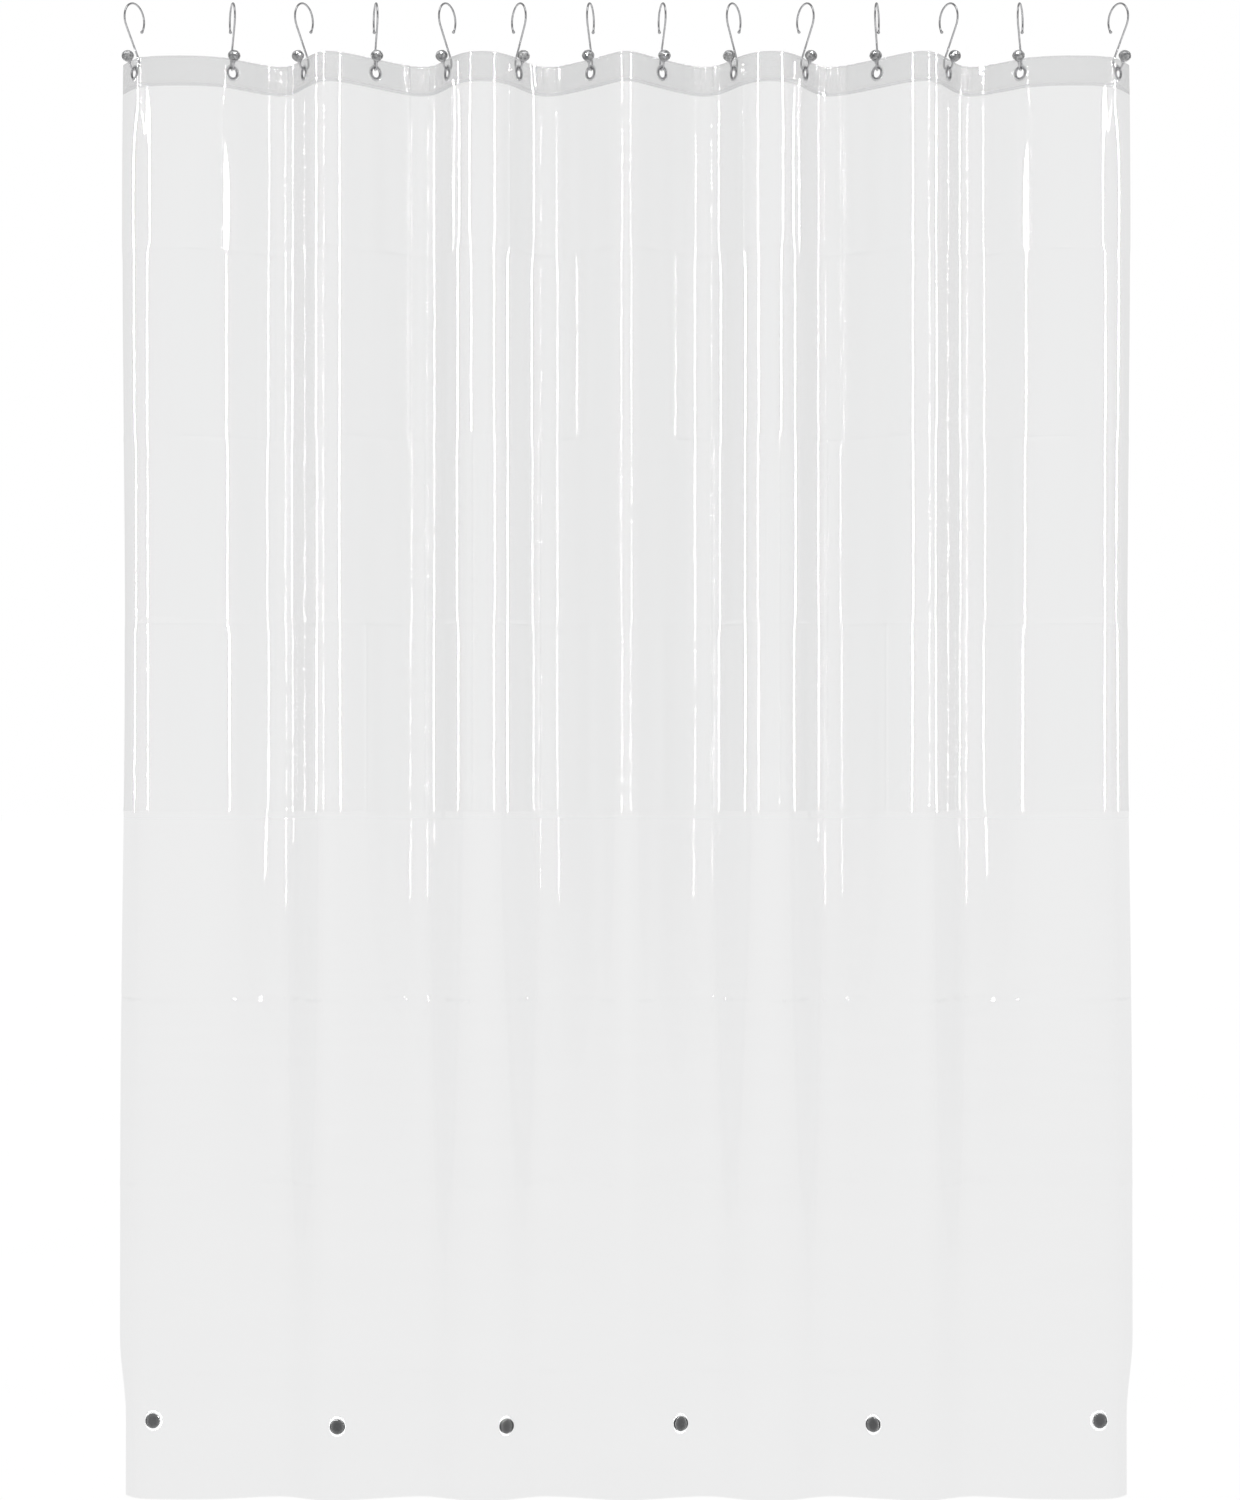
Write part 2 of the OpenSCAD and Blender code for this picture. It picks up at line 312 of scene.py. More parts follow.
def base_point(s, z):
    """Points and back normals of the smooth film at flat distances s and heights z.
    Near the eyelets it is the CAD film's path, and away from them its bends are rounder."""
    share = fold_share(z)
    from_eyelet = np.min([np.abs(s - at) for at in EYELET_S.values()], axis=0)
    soft = np.maximum(
        smooth((SOFTEN_TOP - z) / SOFTEN_H), smooth((from_eyelet - SOFTEN_CLEAR) / SOFTEN_CLEAR)
    )

    def along(hard, rounded):
        return (1 - soft) * np.interp(s, WALKED, hard) + soft * np.interp(s, WALKED, rounded)

    x, y = along(PATH[:, 0], SOFT_PATH[:, 0]), along(PATH[:, 1], SOFT_PATH[:, 1]) * share
    tx, ty = along(SLOPE[:, 0], SOFT_SLOPE[:, 0]), along(SLOPE[:, 1], SOFT_SLOPE[:, 1]) * share
    size = np.hypot(tx, ty)
    return x, y, -ty / size, tx / size


def magnet_s(m):
    """The flat distance from the left edge at which a magnet lies."""
    c = centre(f"magnet_{m}")
    x, y, _, _ = base_point(WALKED, c.z)
    return WALKED[np.argmin(np.hypot(x - c.x, y - c.y))]


CALM_SPOTS = [(s, EYELET_Z) for s in EYELET_S.values()]
CALM_SPOTS += [(magnet_s(m), centre(f"magnet_{m}").z) for m in range(1, MAGNETS + 1)]
CREASES = [FILM_TOP - CREASE_FIRST - CREASE_PITCH * i for i in range(CREASE_COUNT)]


def waves(s, phases, lengths, heights):
    return sum(h * np.sin(2 * np.pi * s / w + p) for p, w, h in zip(phases, lengths, heights))


WAVE_L, WAVE_H = list(RIPPLES), list(RIPPLES.values())
SHARED_PHASES = rng.uniform(0, 2 * np.pi, len(WAVE_L))
PANEL_PHASES = rng.uniform(0, 2 * np.pi, (len(CREASES) + 1, len(WAVE_L)))
CREASE_PHASES = rng.uniform(0, 2 * np.pi, (len(CREASES), len(CREASE_WAVES)))


def between(z, first, last):
    """1 between two packing creases, 0 outside them; -1 is the top edge."""
    top = FILM_TOP + 1 if first < 0 else CREASES[first]
    bottom = CREASES[last] if last < len(CREASES) else FILM_BOTTOM - 1
    return smooth((top - z) / CREASE_BLEND + 0.5) * smooth((z - bottom) / CREASE_BLEND + 0.5)


def flat_distance(away):
    """The flat distance from the middle that hangs at that distance from it."""
    return float(np.interp(away, PATH[:, 0], WALKED)) - TOTAL / 2


def crease_strength(i, s):
    """How strong packing crease i is along the film, from 0 to 1."""
    return CREASE_STRENGTH + waves(s, CREASE_PHASES[i], CREASE_WAVES, CREASE_WAVES.values())


def relief(s, z):
    """How far the real film stands behind the smooth one: ripples, packing creases and puckers."""
    panels = np.zeros(np.broadcast(s, z).shape)
    out = np.abs(s - TOTAL / 2)
    for i in range(len(CREASES) + 1):
        panels = panels + between(z, i - 1, i) * waves(out, PANEL_PHASES[i], WAVE_L, WAVE_H)
    ripple = SHARED_RIPPLES * waves(out, SHARED_PHASES, WAVE_L, WAVE_H) + PANEL_RIPPLES * panels
    below_top = smooth((FILM_TOP - z) / RIPPLE_TOP_H)
    ripple = ripple * (RIPPLE_TOP_SHARE + (1 - RIPPLE_TOP_SHARE) * below_top)
    ripple = ripple * (1 - RIPPLE_LOSS * smooth((RIPPLE_CALM_Z - z) / RIPPLE_CALM_H))
    crease = 0.0
    for i, c in enumerate(CREASES):
        ridge = np.clip(1 - np.abs(z - c) / CREASE_HALF, 0, 1) ** CREASE_SHARPNESS
        crease = crease + (-1) ** i * ridge * CREASE_H * crease_strength(i, out)
    for away, first, last, height in UPRIGHTS:
        line = np.exp(-(((out - flat_distance(away)) / UPRIGHT_HALF) ** 2))
        crease = crease - line * height * between(z, first, last)
    pucker = 0.0
    for k in range(2, HOOKS - 1, 2):
        middle = (EYELET_S[k] + EYELET_S[k + 1]) / 2
        near = smooth(1.5 - np.abs(s - middle) / PUCKER_HALF)
        pucker = pucker + near * np.sin(2 * np.pi * (s - middle) / PUCKER_LENGTH)
    pucker = pucker * PUCKER_H * smooth(1 - (FILM_TOP - z) / PUCKER_Z)
    calm = 1.0
    for spot_s, spot_z in CALM_SPOTS:
        calm = calm * smooth(np.hypot(s - spot_s, z - spot_z) / CALM_R - CALM_INNER)
    from_edge = np.minimum(s, TOTAL - s)
    bow = EDGE_BOW * (1 + EDGE_BOW_WAVE * np.sin(z / EDGE_BOW_L))
    bow = bow * np.clip(1 - from_edge / EDGE_BOW_W, 0, 1) ** 2
    return (ripple + crease + pucker) * calm + bow


def film_point(s, z, off=0.0):
    """Points of the real film at flat distances s and heights z, off metres behind its middle."""
    x, y, nx, ny = base_point(s, z)
    side = np.where(s < TOTAL / 2, 1, -1)
    from_edge = np.minimum(s, TOTAL - s)
    curl = smooth((CURL_TOP - z) / CURL_H) * np.clip(1 - from_edge / CURL_W, 0, 1) ** 2
    d = relief(s, z) + off
    return np.stack(
        [x + nx * d + side * curl * CURL_IN, y + ny * d + curl * CURL_BACK, z + 0 * x], -1
    )


# ---- mesh helpers ----


def mesh_object(name, points, faces, material, flat=False):
    mesh = bpy.data.meshes.new(name)
    mesh.from_pydata([tuple(p) for p in points], [], [tuple(f) for f in faces])
    mesh.materials.append(material)
    mesh.polygons.foreach_set("use_smooth", [not flat] * len(mesh.polygons))
    mesh.update()
    obj = bpy.data.objects.new(name, mesh)
    scene.collection.objects.link(obj)
    return obj


def keep_values(obj, name, values, kind="FLOAT"):
    """Keeps a value, or a vector, at each point of the mesh for its material."""
    attribute = obj.data.attributes.new(name, kind, "POINT")
    field = "value" if kind == "FLOAT" else "vector"
    attribute.data.foreach_set(field, np.asarray(values, np.float32).ravel())


def keep_own_places(obj):
    """A small piece on the film takes its points' own places for its flat ones."""
    keep_values(obj, "flat", [tuple(v.co) for v in obj.data.vertices], "FLOAT_VECTOR")


def ring_faces(rings, sides):
    """Faces between neighbouring rings of this many points each."""
    return [
        (i * sides + j, i * sides + (j + 1) % sides, (i + 1) * sides + (j + 1) % sides, (i + 1) * sides + j)
        for i in range(rings - 1)
        for j in range(sides)
    ]


def turned(profile, sides, place, shift=0.0):
    """Points and faces of a profile [(radius, height)] turned about Z, moved by place.
    With a shift, each ring is turned by that share of a side more than the last, in triangles."""
    points = []
    for i, (r, h) in enumerate(profile):
        a = (np.arange(sides) + shift * i) * 2 * np.pi / sides
        points += [place @ Vector((r * math.cos(v), r * math.sin(v), h)) for v in a]
    faces = ring_faces(len(profile), sides)
    if shift:
        faces = [half for a, b, c, d in faces for half in ((a, b, d), (b, c, d))]
    return points, faces


def closed(points, faces, sides):
    """The turned shape with both ends closed."""
    n = len(points)
    return points, faces + [tuple(range(sides))[::-1], tuple(range(n - sides, n))]


def swept(path, radii, normal, sides):
    """Points and faces of a round tube along a path in the plane with that normal."""
    path = np.array([tuple(p) for p in path])
    along = np.gradient(path, axis=0)
    along /= np.linalg.norm(along, axis=1)[:, None]
    up = np.array(tuple(normal))
    out = np.cross(up, along)
    a = np.arange(sides) * 2 * np.pi / sides
    rings = [
        p + r * (np.cos(a)[:, None] * up + np.sin(a)[:, None] * o)
        for p, r, o in zip(path, radii, out)
    ]
    points = [Vector(p) for ring in rings for p in ring]
    return closed(points, ring_faces(len(path), sides), sides)


def joined(*shapes):
    """Several (points, faces) as one."""
    points, faces = [], []
    for p, f in shapes:
        faces += [tuple(len(points) + i for i in face) for face in f]
        points += list(p)
    return points, faces


# ---- materials ----


class Nodes:
    """A material's node tree, written as short calls."""

    def __init__(self, name):
        self.material = bpy.data.materials.new(name)
        self.material.use_nodes = True
        self.tree = self.material.node_tree
        self.tree.nodes.clear()
        self.out = self.add("ShaderNodeOutputMaterial")

    def add(self, kind, values=None, **settings):
        made = self.tree.nodes.new(kind)
        for key, value in settings.items():
            setattr(made, key, value)
        for key, value in (values or {}).items():
            made.inputs[key].default_value = value
        return made

    def link(self, a, b):
        self.tree.links.new(a, b)

    def flat(self, across, down):
        """The film's flat coordinates, scaled across and down."""
        source = self.add("ShaderNodeAttribute", attribute_name="flat")
        scaled = self.add("ShaderNodeMapping", {"Scale": (across, down, 1)})
        self.link(source.outputs["Vector"], scaled.inputs["Vector"])
        return scaled.outputs["Vector"]

    def place(self):
        return self.add("ShaderNodeTexCoord").outputs["Object"]

    def noise(self, place, scale, detail=3.0, low=0.0, high=1.0):
        """A noise between low and high."""
        made = self.add("ShaderNodeTexNoise", {"Scale": scale, "Detail": detail})
        self.link(place, made.inputs["Vector"])
        return self.between(made.outputs["Fac"], 0.3, 0.7, low, high)

    def between(self, value, a, b, low, high):
        """The value, stretched from a..b to low..high."""
        ends = {"From Min": a, "From Max": b, "To Min": low, "To Max": high}
        made = self.add("ShaderNodeMapRange", ends)
        self.link(value, made.inputs["Value"])
        return made.outputs["Result"]

    def math(self, operation, a, b):
        made = self.add("ShaderNodeMath", operation=operation)
        for socket, value in zip(made.inputs, (a, b)):
            if isinstance(value, (int, float)):
                socket.default_value = value
            else:
                self.link(value, socket)
        return made.outputs["Value"]

    def colour(self, factor, a, b):
        made = self.add("ShaderNodeMix", data_type="RGBA")
        made.inputs["A"].default_value = (*a, 1)
        made.inputs["B"].default_value = (*b, 1)
        self.link(factor, made.inputs["Factor"])
        return made.outputs["Result"]

    def bump(self, height, strength, distance):
        made = self.add("ShaderNodeBump", {"Strength": strength, "Distance": distance})
        self.link(height, made.inputs["Height"])
        return made.outputs["Normal"]

    def principled(self, colour=None, roughness=None, normal=None, **values):
        values = {key.replace("_", " "): value for key, value in values.items()}
        made = self.add("ShaderNodeBsdfPrincipled", values)
        for source, socket in ((colour, "Base Color"), (roughness, "Roughness"), (normal, "Normal")):
            if source is not None:
                self.link(source, made.inputs[socket])
        return made

    def show(self, shader):
        self.link(shader, self.out.inputs["Surface"])
        return self.material


def clear_sheet(name, haze, whitening, clear, ripple):
    """See-through film: glossy, hazier where it is seen along its surface, whiter on creases and welds. On
    the magnets' covers the whiter weld rings are partly a painted highlight.
    """
    n = Nodes(name)
    streaks = n.noise(n.flat(60, 1.5), 1.0, 0.5)
    grain = n.noise(n.flat(900, 900), 1.0, 2.0)
    scuffs = n.noise(n.flat(9, 5), 1.0, 5.0)
    height = n.math("ADD", streaks, n.math("MULTIPLY", grain, 0.02))
    normal = n.bump(height, ripple, 0.0006)
    shader = n.principled(
        colour=n.colour(scuffs, (0.87, 0.872, 0.875), (0.93, 0.932, 0.935)),
        roughness=n.between(scuffs, 0, 1, 0.012, 0.035),
        normal=normal,
        IOR=1.5,
        Specular_IOR_Level=0.9,
        Coat_Weight=1.0,
        Coat_Roughness=0.01,
    )
    through = n.add("ShaderNodeBsdfTransparent", {"Color": (*clear, 1)})
    facing = n.add("ShaderNodeLayerWeight", {"Blend": 0.45}).outputs["Facing"]
    seen = n.between(facing, 0.0, 1.0, haze[0], haze[1])
    seen = n.math("ADD", seen, n.between(scuffs, 0, 1, -0.012, 0.012))
    mark = n.add("ShaderNodeAttribute", attribute_name="mark").outputs["Fac"]
    seen = n.math("ADD", seen, n.math("MULTIPLY", mark, whitening))
    mix = n.add("ShaderNodeMixShader")
    n.link(seen, mix.inputs["Fac"])
    n.link(through.outputs["BSDF"], mix.inputs[1])
    n.link(shader.outputs["BSDF"], mix.inputs[2])
    return n.show(mix.outputs["Shader"])


def chrome():
    n = Nodes("chrome")
    wear = n.noise(n.place(), 260, 5.0)
    shader = n.principled(
        colour=n.colour(wear, (0.40, 0.40, 0.41), (0.56, 0.56, 0.57)),
        roughness=n.between(wear, 0, 1, 0.06, 0.16),
        normal=n.bump(n.noise(n.place(), 900, 2.0), 0.05, 0.0002),
        Metallic=1.0,
    )
    return n.show(shader.outputs["BSDF"])


def eyelet_metal():
    n = Nodes("eyelet_metal")
    wear = n.noise(n.place(), 420, 5.0)
    shader = n.principled(
        colour=n.colour(wear, (0.28, 0.28, 0.29), (0.5, 0.5, 0.51)),
        roughness=n.between(wear, 0, 1, 0.14, 0.3),
        normal=n.bump(n.noise(n.place(), 1500, 3.0), 0.12, 0.0002),
        Metallic=1.0,
    )
    return n.show(shader.outputs["BSDF"])


def crystal():
    n = Nodes("crystal")
    shader = n.principled(
        # The colour runs from near black to white in patches: painted shade and painted reflections, dark
        # and bright facets in place of what the crystal would mirror
        colour=n.colour(n.noise(n.place(), 330, 1.0), (0.05, 0.055, 0.065), (1.0, 1.0, 1.0)),
        roughness=n.noise(n.place(), 320, 3.0, 0.0, 0.04),
        Transmission_Weight=1.0,
        IOR=1.55,
        Coat_Weight=0.5,
        Coat_Roughness=0.02,
    )
    return n.show(shader.outputs["BSDF"])


def ferrite():
    n = Nodes("ferrite")
    grain = n.noise(n.place(), 1400, 5.0)
    shader = n.principled(
        colour=n.colour(grain, (0.034, 0.035, 0.037), (0.07, 0.071, 0.074)),
        roughness=n.between(grain, 0, 1, 0.45, 0.65),
        normal=n.bump(grain, 0.25, 0.0003),
    )
    return n.show(shader.outputs["BSDF"])


FILM = clear_sheet(
    "clear_film", haze=(0.09, 0.40), whitening=0.05, clear=(0.862, 0.863, 0.864), ripple=0.07
)
BAND = clear_sheet(
    "milky_band", haze=(0.18, 0.42), whitening=0.2, clear=(0.922, 0.923, 0.924), ripple=0.2
)
PATCH = clear_sheet(
    "clear_patch", haze=(0.12, 0.36), whitening=0.3, clear=(0.9, 0.903, 0.906), ripple=0.15
)
# On the covers the whitened weld rings, lit by the hem box, are partly the weld and partly a painted
# highlight
COVER = clear_sheet(
    "cover_film", haze=(0.02, 0.2), whitening=0.45, clear=(0.93, 0.933, 0.936), ripple=0.1
)
CHROME = chrome()
EYELET = eyelet_metal()
CRYSTAL = crystal()
FERRITE = ferrite()

# ---- camera ----

CAMERA_X = -0.008
CAMERA_Z = -0.931
CAMERA_AWAY = 3.6
LENS_MM, SENSOR_MM = 68.0, 36.0
camera_data = bpy.data.cameras.new("camera")
camera_data.lens = LENS_MM
camera_data.sensor_width = SENSOR_MM
camera = bpy.data.objects.new("camera", camera_data)
camera.location = (CAMERA_X, -CAMERA_AWAY, CAMERA_Z)
camera.rotation_euler = (math.pi / 2, 0, 0)
scene.collection.objects.link(camera)
scene.camera = camera

# ---- the film and its band ----


def columns():
    """Flat distances of the mesh columns: closer round the eyelets and where the path bends."""
    bend = np.abs(np.gradient(np.unwrap(np.arctan2(SLOPE[:, 1], SLOPE[:, 0])), WALKED))
    density = 1 / COLUMN_W + np.minimum(bend, BEND_MOST) / COLUMN_TURN
    for s in EYELET_S.values():
        density = np.where(np.abs(WALKED - s) < EYELET_NEAR, 1 / EYELET_COLUMN_W, density)
    for away, *_ in UPRIGHTS:
        near = np.abs(np.abs(WALKED - TOTAL / 2) - flat_distance(away)) < 2 * UPRIGHT_HALF
        density = np.where(near, 1 / UPRIGHT_COLUMN_W, density)
    counted = np.concatenate([[0], np.cumsum((density[1:] + density[:-1]) / 2 * np.diff(WALKED))])
    total = round(counted[-1])
    return np.interp(np.linspace(0, counted[-1], total + 1), counted, WALKED)


def rows(bottom):
    """Heights of the mesh rows: closer at the eyelets and the packing creases."""
    levels = {round(FILM_TOP - d, 5) for d in TOP_ROWS}
    levels |= {round(EYELET_Z + EYELET_ROW_H * i, 5) for i in range(-5, 6)}
    levels |= {round(FILM_TOP - HEADER_H - d, 5) for d in BAND_ROWS}
    for c in CREASES:
        levels |= {round(c + d * e, 5) for d in CREASE_ROWS for e in (-1, 1)}
    levels |= {round(FILM_BOTTOM + d, 5) for d in BOTTOM_ROWS}
    ordered = sorted(z for z in levels if z >= bottom - 1e-6)
    filled = [ordered[0]]
    for z in ordered[1:]:
        gap = z - filled[-1]
        more = max(1, math.ceil(gap / ROW_H))
        filled += [filled[-1] + gap * i / more for i in range(1, more + 1)]
    return np.array(filled[::-1])


def sheet_mesh(name, heights, off, material):
    """A sheet over all columns with a hole at each eyelet, and its points' flat places."""
    s, z = np.meshgrid(columns(), heights)
    count = s.shape[1]
    s, z = s.ravel(), z.ravel()
    corner = (np.arange(len(heights) - 1)[:, None] * count + np.arange(count - 1)).ravel()
    faces = np.stack([corner, corner + count, corner + count + 1, corner + 1], 1)
    middle_s, middle_z = s[faces].mean(1), z[faces].mean(1)
    cut = np.zeros(len(faces), bool)
    for centre_s in EYELET_S.values():
        hole = np.hypot(middle_s - centre_s, middle_z - EYELET_Z) < HOLE_R
        cut |= hole
        rim = np.intersect1d(faces[hole], faces[~cut])
        away = np.hypot(s[rim] - centre_s, z[rim] - EYELET_Z)
        s[rim] = centre_s + (s[rim] - centre_s) * HOLE_R / away
        z[rim] = EYELET_Z + (z[rim] - EYELET_Z) * HOLE_R / away
    faces = faces[~cut]
    used, index = np.unique(faces, return_inverse=True)
    s, z = s[used], z[used]
    obj = mesh_object(name, film_point(s, z, off), index.reshape(faces.shape).tolist(), material)
    keep_values(obj, "flat", np.stack([s, z, 0 * s], 1), "FLOAT_VECTOR")
    return obj, s, z


def line_mark(z, height, half):
    """1 at that height, falling to 0 at half above and below it."""
    return np.clip(1 - np.abs(z - height) / half, 0, 1)


def packing_marks(s, z):
    """Whitening along the packing creases, from 0 to 1."""
    out = np.abs(s - TOTAL / 2)
    marks = sum(
        line_mark(z, c, CREASE_MARK_HALF) * crease_strength(i, out) ** 2 for i, c in enumerate(CREASES)
    )
    marks = marks + line_mark(z, FILM_TOP, TOP_MARK_HALF)
    return marks + BOTTOM_MARK * line_mark(z, FILM_BOTTOM, BOTTOM_MARK_HALF)


film, film_s, film_z = sheet_mesh("film_sheet", rows(FILM_BOTTOM), 0.0, FILM)
keep_values(film, "mark", packing_marks(film_s, film_z))
band_bottom = FILM_TOP - HEADER_H
band, _, band_z = sheet_mesh("header_sheet", rows(band_bottom), BAND_OFF, BAND)
weld_mark = line_mark(band_z, band_bottom + WELD_MARK_UP, WELD_MARK_HALF)
keep_values(band, "mark", weld_mark + line_mark(band_z, FILM_TOP, WELD_MARK_HALF))


def rings_on_film(centre_s, centre_z, rings, sides):
    """Points of rings [(radius, distance behind the film's middle)] that follow the film."""
    a = np.arange(sides) * 2 * np.pi / sides
    return [
        p for r, off in rings for p in film_point(centre_s + r * np.cos(a), centre_z + r * np.sin(a), off)
    ]


def patch_shape(s, off):
    """A flat patch round an eyelet, whose outer edge meets the film."""
    radii = (HOLE_R, (HOLE_R + PATCH_R) / 2, PATCH_R - PATCH_EDGE)
    rings = [*((r, off) for r in radii), (PATCH_R, 0.0)]
    return rings_on_film(s, EYELET_Z, rings, PATCH_SIDES), ring_faces(len(rings), PATCH_SIDES)


patch_shapes = [patch_shape(s, off) for s in EYELET_S.values() for off in (-PATCH_OFF, BAND_OFF + PATCH_OFF)]
patches = mesh_object("eyelet_patches", *joined(*patch_shapes), PATCH)
keep_values(patches, "mark", np.tile(np.repeat(PATCH_MARKS, PATCH_SIDES), len(patch_shapes)))
keep_own_places(patches)

# ---- hooks, knobs and eyelets ----


def arc(z, r, start, end, steps):
    """Points (back, up) of an arc round (0, z) from one angle to another, in degrees."""
    a = np.radians(np.linspace(start, end, steps))
    return np.stack([r * np.cos(a), z + r * np.sin(a)], 1)


BEND_R = ((LOOP_Z - HOOK_BOTTOM) * math.sin(math.radians(LEG_LEAN)) - LOOP_R) / (
    1 + math.sin(math.radians(LEG_LEAN))
)
BEND_Z = HOOK_BOTTOM + BEND_R


def hook_path():
    """The hook's wire in its own plane (back, up), from the bead at its back end to the cup."""
    loop = arc(LOOP_Z, LOOP_R, LOOP_TIP, 180 + LEG_LEAN, LOOP_STEPS)
    bend = arc(BEND_Z, BEND_R, LEG_LEAN, ARM_LEAN - 180, BEND_STEPS)
    leg = loop[-1] + (bend[0] - loop[-1]) * np.linspace(0, 1, LEG_STEPS)[1:-1, None]
    lean = math.radians(ARM_LEAN)
    arm = bend[-1] + np.linspace(0, ARM_L, ARM_STEPS)[1:, None] * [-math.sin(lean), math.cos(lean)]
    return np.concatenate([loop, leg, bend, arm])


def hook_radii(path):
    """The wire's radius along the path, with a bead at its first end."""
    walked = np.concatenate([[0.0], np.cumsum(np.linalg.norm(np.diff(path, axis=0), axis=1))])
    bead = np.sqrt(np.clip(1 - ((walked - TIP_R) / TIP_R) ** 2, 0, 1)) * TIP_R
    neck = WIRE_R + (TIP_R - WIRE_R) * smooth(1 - (walked - TIP_R) / BEAD_NECK)
    return np.where(walked < TIP_R, np.maximum(bead, LEAST_R), np.maximum(WIRE_R, neck))


def with_bead_steps(path):
    """The path with closer steps over the bead."""
    first, second = path[0], path[1]
    away = (first - second) / np.linalg.norm(first - second)
    ends = first + away * TIP_R * np.array(BEAD_STEPS)[:, None]
    return np.concatenate([ends, path])


HOOK_PATH = with_bead_steps(hook_path())
HOOK_RADII = hook_radii(HOOK_PATH)


def hook_place(k):
    """From the hook's plane (back, up, sideways) to the row frame."""
    yaw = math.radians(turn(k) * HOOK_YAWS[outward(k)])
    back = Vector((-math.sin(yaw), math.cos(yaw), 0))
    up = Vector((0, 0, 1))
    side = back.cross(up)
    place = Matrix((back, up, side)).transposed().to_4x4()
    place.translation = (EYELETS[k].x, 0, 0)
    return place


def arm_place(k):
    """From Z along the front arm, with its origin at the arm's end, to the row frame."""
    lean = math.radians(ARM_LEAN)
    end = HOOK_PATH[-1]
    along = Vector((-math.sin(lean), math.cos(lean), 0))
    side = Vector((0, 0, 1))
    local = Matrix((side.cross(along), side, along)).transposed().to_4x4()
    local.translation = (end[0], end[1], 0)
    return hook_place(k) @ local


def flange(side):
    """Half of a rolled rim's profile, on one side of the film."""
    r = (EYELET_R - EYELET_HOLE_R) / 2
    middle = EYELET_HOLE_R + r
    a = np.linspace(0, np.pi, FLANGE_STEPS)
    rim = [(middle + r * math.cos(v), side * (FLANGE_LIFT + FLANGE_H * math.sin(v))) for v in a]
    return rim if side > 0 else rim[::-1]


def eyelet_shape(k):
    """A rolled metal rim on each side of the film and the barrel between them."""
    yaw = math.radians(turn(k) * FOLD_ANGLES[outward(k)])
    facing = Matrix.Rotation(yaw, 4, "Z") @ Matrix.Rotation(-math.pi / 2, 4, "X")
    outline = [*flange(1), *flange(-1)]
    return turned([*outline, outline[0]], EYELET_SIDES, Matrix.Translation(EYELETS[k]) @ facing)


pieces = []  # each small piece, the CAD node it replaces, and its finish
for k in range(1, HOOKS + 1):
    place = hook_place(k)
    line = [place @ Vector((b, u, 0)) for b, u in HOOK_PATH]
    wire = swept(line, HOOK_RADII, place.to_3x3() @ Vector((0, 0, 1)), WIRE_SIDES)
    cup = turned(CUP_PROFILE, CUP_SIDES, arm_place(k))
    hook = mesh_object(node("wire_hook", k), *joined(wire, cup), CHROME)
    knob_at = arm_place(k) @ Matrix.Translation((0, 0, CUP_H))
    knob_shape = closed(*turned(KNOB_PROFILE, KNOB_SIDES, knob_at, 0.5), KNOB_SIDES)
    knob = mesh_object(node("crystal_knob", k), *knob_shape, CRYSTAL, flat=True)
    eyelet = mesh_object(node("rolled_eyelet", k), *eyelet_shape(k), EYELET)
    for obj, kind, finish in (
        (hook, "hook", "chrome_wire"), (knob, "knob", "crystal"), (eyelet, "grommet", "eyelet_metal")
    ):
        pieces.append((obj, node(kind, k), finish))

# ---- magnets and their covers ----


def magnet_place(m):
    """From Z towards the front to the row frame, with its origin on the magnet's back face."""
    at, z = magnet_s(m), centre(f"magnet_{m}").z
    _, _, nx, ny = base_point(at, z)
    front = Vector((-nx, -ny, 0)).normalized()
    side = Vector((0, 0, 1)).cross(front)
    place = Matrix((side, Vector((0, 0, 1)), front)).transposed().to_4x4()
    place.translation = Vector(film_point(at, z, -MAGNET_LIFT))
    return place


def cover_shape(m):
    """A cover that follows the film and stands in front of it, closed at its innermost ring."""
    rings = [(r, -h) for r, h in COVER_RINGS]
    points = rings_on_film(magnet_s(m), centre(f"magnet_{m}").z, rings, COVER_SIDES)
    cap = tuple(range(len(points) - COVER_SIDES, len(points)))
    return points, ring_faces(len(rings), COVER_SIDES) + [cap]


for m in range(1, MAGNETS + 1):
    disc_shape = closed(*turned(MAGNET_PROFILE, COVER_SIDES, magnet_place(m)), COVER_SIDES)
    disc = mesh_object(f"weight_{m}", *disc_shape, FERRITE)
    cover = mesh_object(f"weight_cover_{m}", *cover_shape(m), COVER)
    # Whitening of the cover's rings: partly the weld, partly a painted highlight
    keep_values(cover, "mark", np.repeat(COVER_WELD_AND_HIGHLIGHT_MARKS, COVER_SIDES))
    keep_own_places(cover)
    pieces.append((disc, f"magnet_{m}", "magnet_grey"))
    pieces.append((cover, f"pocket_{m}", "pocket_film"))

# ---- what rides on what ----

BODY_OF = {name: body for body, names in frame["record"]["behaviour"]["bodies"].items() for name in names}
for obj, stood_for, finish in pieces:
    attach(obj, BODY_OF[stood_for])
    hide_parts(stood_for)
for obj, finish in ((film, "clear_film"), (band, "milky_band"), (patches, "clear_film")):
    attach(obj, "curtain")
    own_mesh(obj)
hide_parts("film")
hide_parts("header_band")

# ---- floor, light and surroundings ----

FLOOR_Z = -2.0
FLOOR_HALF = 41.0
FLOOR_CORNERS = ((-1, -1), (1, -1), (1, 1), (-1, 1))
floor_nodes = Nodes("pale_floor")
floor_tone = floor_nodes.noise(floor_nodes.place(), 3, 2.0)
floor_shader = floor_nodes.principled(
    colour=floor_nodes.colour(floor_tone, (0.88, 0.88, 0.88), (0.9, 0.9, 0.9)),
    Roughness=0.9,
    Specular_IOR_Level=0.1,
    Emission_Color=(1, 1, 1, 1),
    Emission_Strength=0.63,
)
floor = mesh_object(
    "floor",
    [(x * FLOOR_HALF, y * FLOOR_HALF, FLOOR_Z) for x, y in FLOOR_CORNERS],
    [(0, 1, 2, 3)],
    floor_nodes.show(floor_shader.outputs["BSDF"]),
)


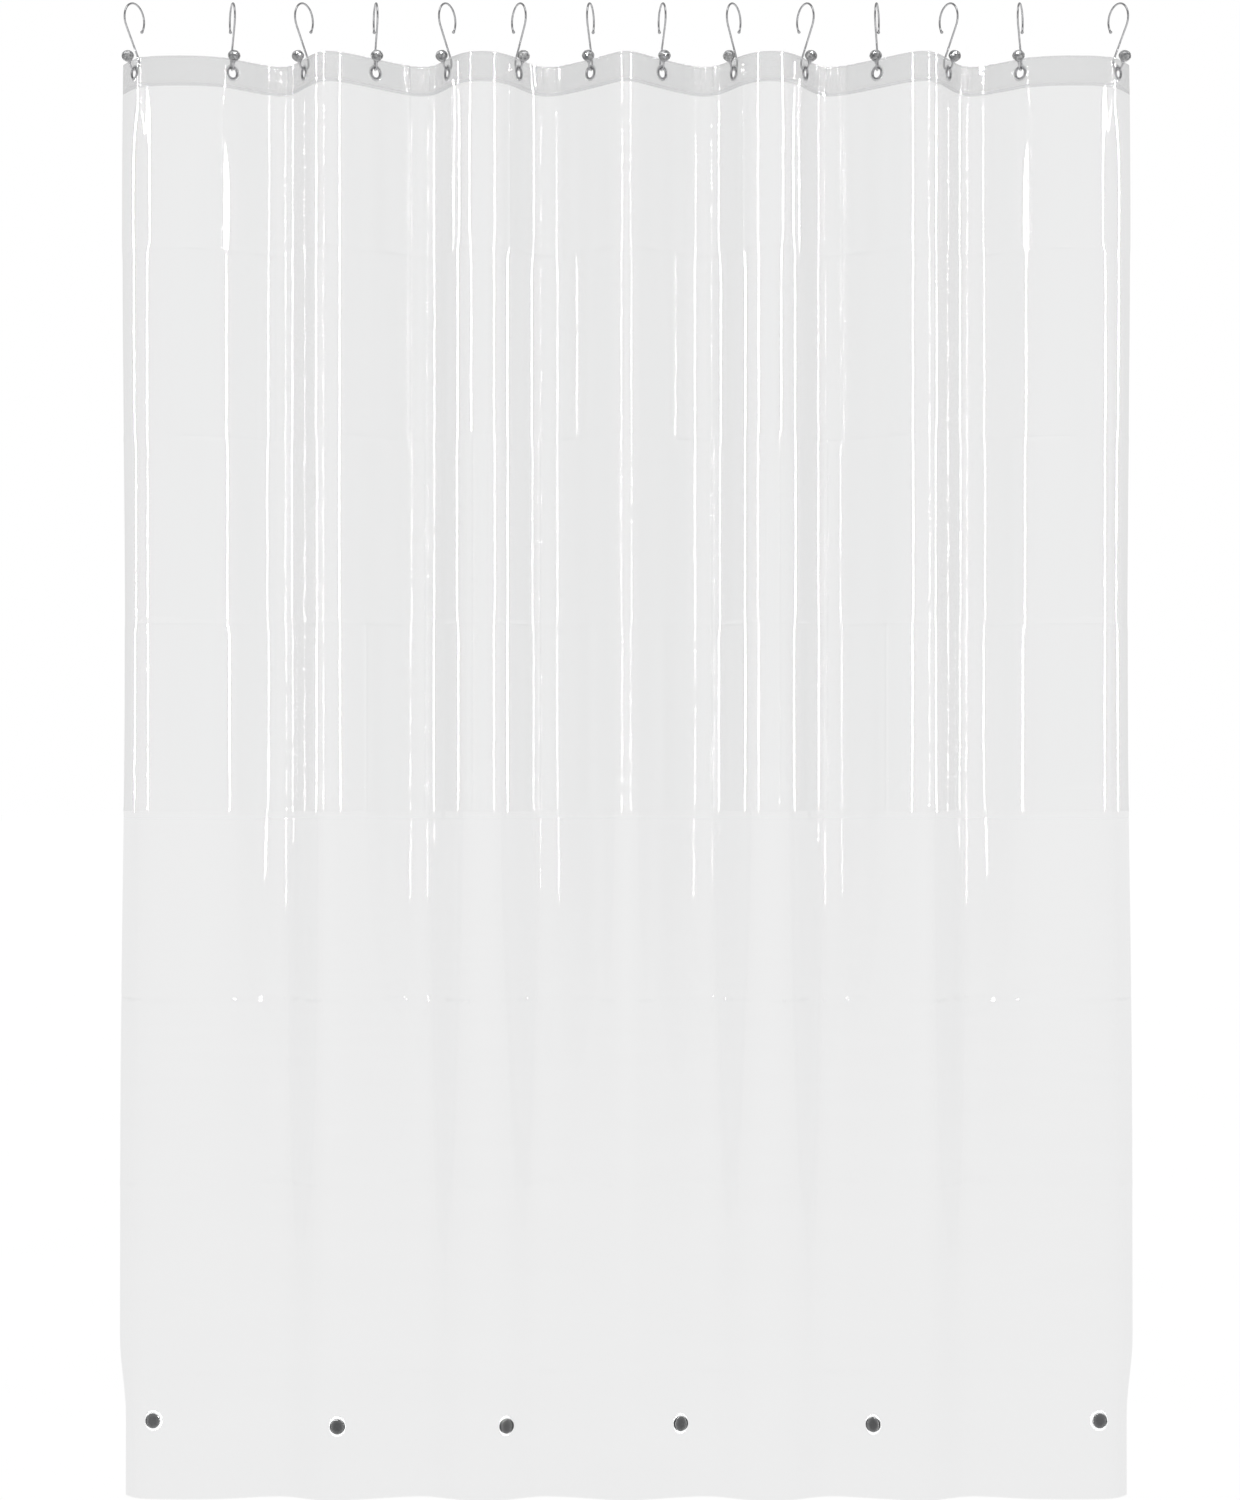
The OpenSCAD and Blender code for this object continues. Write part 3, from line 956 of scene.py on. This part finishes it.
def soft_box(name, place, target, width, height, strength, objects):
    """An area light of that strength at place, facing target, which falls on these pieces only."""
    data = bpy.data.lights.new(name, "AREA")
    data.shape = "RECTANGLE"
    data.size, data.size_y = width, height
    data.energy = strength * 4 * width * height
    light = bpy.data.objects.new(name, data)
    light.location = place
    light.rotation_euler = (Vector(target) - Vector(place)).to_track_quat("-Z", "Y").to_euler()
    light.visible_camera = False
    light.visible_diffuse = "strip" not in name
    scene.collection.objects.link(light)
    group = bpy.data.collections.new(f"lit_by_{name}")
    for obj in objects:
        group.objects.link(obj)
    light.light_linking.receiver_collection = group


covers = [obj for obj, _, finish in pieces if finish == "pocket_film"]
films = [film, band, patches] + covers
knobs = [obj for obj, _, finish in pieces if finish == "crystal"]
hard_parts = [obj for obj, _, finish in pieces if finish != "pocket_film"]
# Small bright lights for the knobs' facets: how far out, ahead and up
GLINTS = [(1.3, 2.2, 1.1), (2.4, 0.9, 0.3), (0.6, 1.5, 2.1), (1.7, 1.9, -0.9)]
GLINT_W, GLINT_STRENGTH = 0.6, 22.0
# Azimuth, width and strength of the upright lights, which the folds' bends mirror as streaks
STRIPS = [(56, 0.24, 95), (106, 0.16, 85)]
STRIP_AWAY = 5.0
STRIP_BOTTOM = -1.14
STRIP_H = 2.4
for side, hand in ((-1, "left"), (1, "right")):
    for azimuth, width, strength in STRIPS:
        a = math.radians(azimuth)
        z = STRIP_BOTTOM + STRIP_H / 2
        at = (side * STRIP_AWAY * math.sin(a), -STRIP_AWAY * math.cos(a), z)
        soft_box(f"strip_{azimuth}_{hand}", at, (0, 0, z), width, STRIP_H, strength, films)
    at = (side * 2.2, -2.4, 0.5)
    soft_box(f"key_{hand}", at, (0, 0, 0), width=0.7, height=1.4, strength=1.5, objects=hard_parts)
    for i, (out, ahead, up) in enumerate(GLINTS):
        at = (side * out, -ahead, up)
        soft_box(f"glint_{i}_{hand}", at, (0, 0, 0), GLINT_W, GLINT_W, GLINT_STRENGTH, knobs)
soft_box(
    "hem_box", (0, -2.6, -1.5), (0, 0, -1.8), width=2.4, height=0.6, strength=18.0, objects=covers
)
soft_box(
    "top_box", (0, -1.2, 2.6), (0, 0, -1.0), width=3.0, height=1.6, strength=1.2, objects=films + hard_parts
)

world = bpy.data.worlds.new("white_room")
world.use_nodes = True
tree = world.node_tree
tree.nodes.clear()
output = tree.nodes.new("ShaderNodeOutputWorld")
ray = tree.nodes.new("ShaderNodeLightPath")
mix = tree.nodes.new("ShaderNodeMixShader")
tree.links.new(ray.outputs["Is Camera Ray"], mix.inputs["Fac"])
# The room is grey where it lights and is mirrored, and white where the camera sees it
for socket, brightness in ((1, 0.42), (2, 1.0)):
    room = tree.nodes.new("ShaderNodeBackground")
    room.inputs["Color"].default_value = (1, 1, 1, 1)
    room.inputs["Strength"].default_value = brightness
    tree.links.new(room.outputs["Background"], mix.inputs[socket])
tree.links.new(mix.outputs["Shader"], output.inputs["Surface"])
scene.world = world

scene.view_settings.view_transform = "Standard"
scene.cycles.transparent_max_bounces = 64
